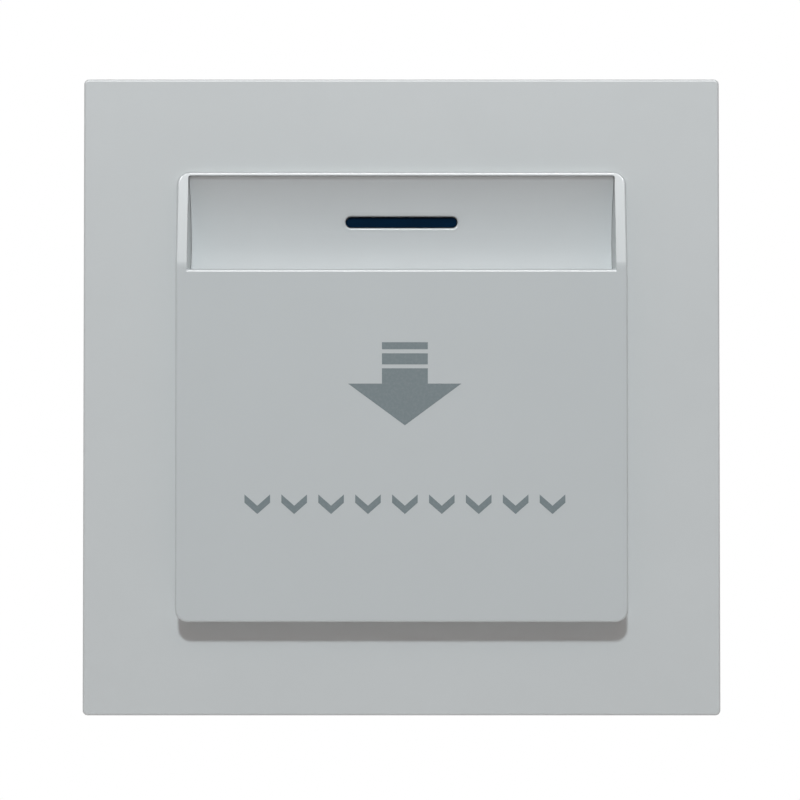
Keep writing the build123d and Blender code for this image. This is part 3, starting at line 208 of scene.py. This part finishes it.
def moulded(name, colour, roughness, drift=0.04, grain=fine_grain, sheen=0.4, patchy=0.05,
            windowed=False):
    """Moulded plastic: fine spark-eroded grain, slow colour drift and uneven gloss."""
    look = Look(name)
    clouds = look.noise(cloud_size, 3)
    fine = look.noise(grain, 2, 0.6)
    tint = look.mix(look.span(clouds, 0, 1), colour, darker(colour, 1 - drift))
    speck = look.mix(look.span(fine, 0, 0.35), tint, darker(colour, 1 - 2 * drift))
    patches = look.noise(patch_size, 4)
    rough = look.span(patches, roughness - patchy, roughness + patchy)
    if windowed:
        rough = around_window(look, rough)
    look.surface["Specular IOR Level"].default_value = sheen
    swell = look.bump(clouds, swell_height, 0.3)
    return look.dress(speck, rough, look.bump(fine, grain_height, 0.8, swell))


def metal(name, colour, roughness, along=(1, 1, 1)):
    """Plated or drawn metal: fine streaks along one axis and faint dull stains."""
    look = Look(name)
    streaks = look.noise(streak_width, 4, 0.6, look.stretched(along))
    stains = look.noise(stain_size, 4)
    tint = look.mix(look.span(stains, 0, 1), colour, darker(colour, 0.88))
    streaked = look.mix(look.span(streaks, 0, 0.3), tint, darker(colour, 0.8))
    rough = look.span(streaks, roughness - 0.06, roughness + 0.1)
    look.surface["Metallic"].default_value = 1.0
    return look.dress(streaked, rough, look.bump(streaks, streak_height, 0.6))


def board(name, colour, track_colour):
    """Circuit board: solder mask over faint copper tracks, with the tracks slightly raised."""
    look = Look(name)
    tracks = look.add("ShaderNodeTexVoronoi", feature="DISTANCE_TO_EDGE", distance="MANHATTAN")
    tracks.inputs["Scale"].default_value = 1 / track_pitch
    look.join(look.stretched((1, 0.001, 1)), tracks.inputs["Vector"])
    line = look.span(tracks.outputs["Distance"], 1, 0, 0.10, 0.14)
    weave = look.noise(weave_size, 2)
    base = look.mix(look.span(weave, 0, 0.4), colour, darker(colour, 0.8))
    rough = look.span(weave, 0.25, 0.4)
    return look.dress(look.mix(line, base, track_colour), rough, look.bump(line, track_height))


def lens(name, colour):
    """Dark blue light guide: deep clear plastic with faint flow lines and a polished skin."""
    look = Look(name)
    flow = look.noise(flow_line_size, 3, 0.5, look.stretched((0.3, 1, 1)))
    tint = look.mix(look.span(flow, 0, 1), colour, darker(colour, 0.7))
    look.surface["Specular IOR Level"].default_value = 0.08
    return look.dress(tint, look.span(flow, 0.12, 0.2), look.bump(flow, flow_line_height, 0.4))


def printed(name, colour, thin_colour, roughness):
    """Pad-printed ink: slightly mottled, with thin places where the plastic shows through."""
    look = Look(name)
    mottle = look.noise(mottle_size, 4, 0.6)
    tint = look.mix(look.span(mottle, 0, 0.5, 0.45, 0.8), colour, thin_colour)
    rough = look.span(mottle, roughness - 0.05, roughness + 0.08)
    return look.dress(tint, rough, look.bump(mottle, mottle_height, 0.5))


def pale_floor(name, colour, cloud_colour):
    look = Look(name)
    clouds = look.span(look.noise(floor_cloud_size, 3), 0, 1)
    look.join(look.mix(clouds, colour, cloud_colour), look.surface["Base Color"])
    look.surface["Roughness"].default_value = 0.7
    return look.owner


looks = {
    "plate_plastic": moulded(
        "plate_plastic", (0.700, 0.718, 0.714), 0.36, drift=0.02, sheen=0.75, patchy=0.01
    ),
    "cover_plastic": moulded(
        "cover_plastic", (0.655, 0.680, 0.680), 0.30, drift=0.015, sheen=0.75, patchy=0.001
    ),
    "panel_plastic": moulded(
        "panel_plastic", (0.735, 0.755, 0.755), 0.62, drift=0.02, sheen=0.40, patchy=0.02,
        windowed=True,
    ),
    "window_blue": lens("window_blue", (0.0006, 0.018, 0.048)),
    "zinc_steel": metal("zinc_steel", (0.60, 0.60, 0.57), 0.32, along=(1, 1, 0.08)),
    "housing_plastic": moulded("housing_plastic", (0.60, 0.60, 0.57), 0.50, grain=coarse_grain),
    "screw_steel": metal("screw_steel", (0.55, 0.54, 0.50), 0.28),
    "board_green": board("board_green", (0.015, 0.115, 0.045), (0.037, 0.1955, 0.063)),
    "led_blue": moulded("led_blue", (0.22, 0.42, 0.72), 0.15, sheen=0.6),
    "black_plastic": moulded("black_plastic", (0.018, 0.018, 0.020), 0.45),
    "lever_plastic": moulded("lever_plastic", (0.62, 0.62, 0.58), 0.40),
    "spring_steel": metal("spring_steel", (0.42, 0.41, 0.40), 0.25),
    "plunger_red": moulded("plunger_red", (0.42, 0.025, 0.015), 0.35),
    "contact_copper": metal("contact_copper", (0.72, 0.42, 0.24), 0.28),
    "tinned_metal": metal("tinned_metal", (0.66, 0.66, 0.63), 0.30),
    "relay_plastic": moulded("relay_plastic", (0.020, 0.045, 0.110), 0.38),
    "bobbin_plastic": moulded("bobbin_plastic", (0.66, 0.62, 0.52), 0.45),
    "winding_copper": metal("winding_copper", (0.42, 0.13, 0.05), 0.35, along=(1, 12, 1)),
    "soft_iron": metal("soft_iron", (0.46, 0.45, 0.43), 0.40),
    "terminal_plastic": moulded("terminal_plastic", (0.03, 0.20, 0.10), 0.42),
    "clamp_brass": metal("clamp_brass", (0.66, 0.60, 0.46), 0.32),
    "film_yellow": moulded("film_yellow", (0.72, 0.50, 0.06), 0.30),
    "can_sleeve": moulded("can_sleeve", (0.015, 0.016, 0.030), 0.25),
    "resistor_lacquer": moulded("resistor_lacquer", (0.25, 0.42, 0.52), 0.25),
    "varistor_blue": moulded("varistor_blue", (0.02, 0.10, 0.32), 0.28),
}
ink = printed("print_ink", (0.205, 0.250, 0.262), (0.29375, 0.3275, 0.3365), 0.45)

# Each CAD piece gets the look that its row of the record names

for row in frame["record"]["subparts"]:
    slots = nodes[row["node"]].data.materials
    slots.clear()
    slots.append(looks[row["material_slot"]])

# Print on the cover: an arrow that points down, and a row of small chevrons below it

cover_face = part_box("pocket_cover")[0].y
ink_lift = 0.02 * MM
ink_sink = 0.05 * MM


def print_shapes(name, outlines):
    """Thin printed shapes on the cover's face, from outlines of (across, level) points."""
    mesh = bpy.data.meshes.new(name)
    shape = bmesh.new()
    for outline in outlines:
        front = [shape.verts.new((x, cover_face - ink_lift, z)) for x, z in outline]
        back = [shape.verts.new((x, cover_face + ink_sink, z)) for x, z in outline]
        shape.faces.new(front)
        shape.faces.new(back[::-1])
        for i in range(len(outline)):
            j = (i + 1) % len(outline)
            shape.faces.new((front[j], front[i], back[i], back[j]))
    bmesh.ops.recalc_face_normals(shape, faces=shape.faces)
    shape.to_mesh(mesh)
    shape.free()
    piece = bpy.data.objects.new(name, mesh)
    bpy.context.scene.collection.objects.link(piece)
    mesh.materials.append(ink)
    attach(piece, "faceplate")


stem_left = -2.60 * MM
stem_right = 3.50 * MM
stem_top = 3.61 * MM
head_left = -7.09 * MM
head_right = 7.95 * MM
head_level = 1.57 * MM
arrow_tip = (0.45 * MM, -3.97 * MM)
low_bar = (4.13 * MM, 5.60 * MM)
high_bar = (6.14 * MM, 7.08 * MM)


def stem_bar(bottom, top):
    """A bar across the arrow's stem, between two levels."""
    return [(stem_left, bottom), (stem_right, bottom), (stem_right, top), (stem_left, top)]


print_shapes("printed_arrow", [
    stem_bar(*high_bar),
    stem_bar(*low_bar),
    [
        (stem_left, stem_top), (stem_left, head_level), (head_left, head_level), arrow_tip,
        (head_right, head_level), (stem_right, head_level), (stem_right, stem_top),
    ],
])

chevron_count = 9
chevron_pitch = 4.9 * MM
chevron_half = 1.7 * MM
chevron_drop = 1.5 * MM
chevron_stroke = 1.1 * MM
chevron_top = -13.15 * MM


def chevron(index):
    """The outline of one chevron of the row, counted from the left."""
    across = arrow_tip[0] + (index - (chevron_count - 1) / 2) * chevron_pitch
    upper = [
        (across - chevron_half, chevron_top),
        (across, chevron_top - chevron_drop),
        (across + chevron_half, chevron_top),
    ]
    return upper + [(x, z - chevron_stroke) for x, z in upper[::-1]]


print_shapes("printed_chevrons", [chevron(index) for index in range(chevron_count)])

# Floor: a round pale disk well below the object

floor_level = -420 * MM
floor_reach = 800 * MM
floor_sides = 128


def floor_corner(side):
    turn = 2 * math.pi * side / floor_sides
    return (floor_reach * math.cos(turn), floor_reach * math.sin(turn), floor_level)


floor_mesh = bpy.data.meshes.new("floor")
floor_mesh.from_pydata(
    [floor_corner(side) for side in range(floor_sides)], [], [tuple(range(floor_sides))]
)
floor_mesh.materials.append(pale_floor("floor", (0.90, 0.90, 0.90), (0.86, 0.86, 0.86)))
floor = bpy.data.objects.new("floor", floor_mesh)
bpy.context.scene.collection.objects.link(floor)

# Light: a small key light with crisp shadows and no gloss, and a wide strip that gives gloss alone

light_target = Vector((0, -10 * MM, 0))
light_distance = 900 * MM


def softbox(name, elevation, side, width, height, power, colour):
    """A level softbox in front of the object, aimed at it and not seen by the camera."""
    place = Vector((
        light_distance * math.sin(side),
        -light_distance * math.cos(elevation),
        light_distance * math.sin(elevation),
    ))
    data = bpy.data.lights.new(name, "AREA")
    data.shape = "RECTANGLE"
    data.size = width
    data.size_y = height
    data.energy = power
    data.color = colour
    light = bpy.data.objects.new(name, data)
    light.location = place
    light.rotation_euler = (light_target - place).to_track_quat("-Z", "Y").to_euler()
    light.visible_camera = False
    bpy.context.scene.collection.objects.link(light)
    return light


key = softbox(
    "key", elevation=math.radians(32), side=math.radians(-2), width=75 * MM, height=62 * MM,
    power=3.55, colour=(0.940, 1.04, 1.09),
)
key.visible_glossy = False
gloss = softbox(
    "gloss", elevation=math.radians(42), side=0, width=1200 * MM, height=120 * MM,
    power=19.0, colour=(1, 1, 1),
)
gloss.visible_diffuse = False

sky_strength = 0.45
sky_colour = (1, 0.92, 0.90)
backdrop_colour = (1, 1, 1)


def studio_world():
    """White behind the object; for its light, bright above and behind, dim towards the floor."""
    world = bpy.data.worlds.new("studio")
    bpy.context.scene.world = world
    tree = Tree(world, "Generated")
    axes = tree.axes()
    above = tree.span(axes["Z"], 0, sky_strength, -1, 1)
    behind = tree.span(axes["Y"], 0, sky_strength, 0, 1)
    sky = tree.nodes["Background"]
    tree.feed(sky_colour, sky.inputs["Color"])
    tree.feed(tree.math("ADD", above, behind), sky.inputs["Strength"])
    backdrop = tree.add("ShaderNodeBackground")
    tree.feed(backdrop_colour, backdrop.inputs["Color"])
    seen = tree.add("ShaderNodeLightPath").outputs["Is Camera Ray"]
    either = tree.add("ShaderNodeMixShader")
    tree.join(seen, either.inputs[0])
    tree.join(sky.outputs["Background"], either.inputs[1])
    tree.join(backdrop.outputs["Background"], either.inputs[2])
    tree.join(either.outputs["Shader"], tree.nodes["World Output"].inputs["Surface"])


studio_world()

# Camera: a little below the plate's middle, because the photo shows the raised holder a little high
# against the plate, and tilted up. A small shift then puts the plate where the photo has it.

plate_front = 8 * MM
photo_pixels = 800
plate_right_pixels = 1.5
plate_up_pixels = 3.5
frame_width = 108 * MM
sensor_millimetres = 36.0
camera_distance = 287 * MM
camera_drop = 9 * MM
camera_aim = 5 * MM

camera_data = bpy.data.cameras.new("camera")
camera_data.sensor_width = sensor_millimetres
camera_data.lens = sensor_millimetres * camera_distance / frame_width
camera_data.shift_x = -plate_right_pixels / photo_pixels
camera_data.shift_y = -plate_up_pixels / photo_pixels + (camera_drop - camera_aim) / frame_width
camera_data.clip_start = 10 * MM
camera = bpy.data.objects.new("camera", camera_data)
camera.location = (0, -plate_front - camera_distance, -camera_drop)
camera.rotation_euler = (math.pi / 2 + math.atan(camera_aim / camera_distance), 0, 0)
bpy.context.scene.collection.objects.link(camera)
bpy.context.scene.camera = camera
bpy.context.scene.view_settings.view_transform = "Standard"
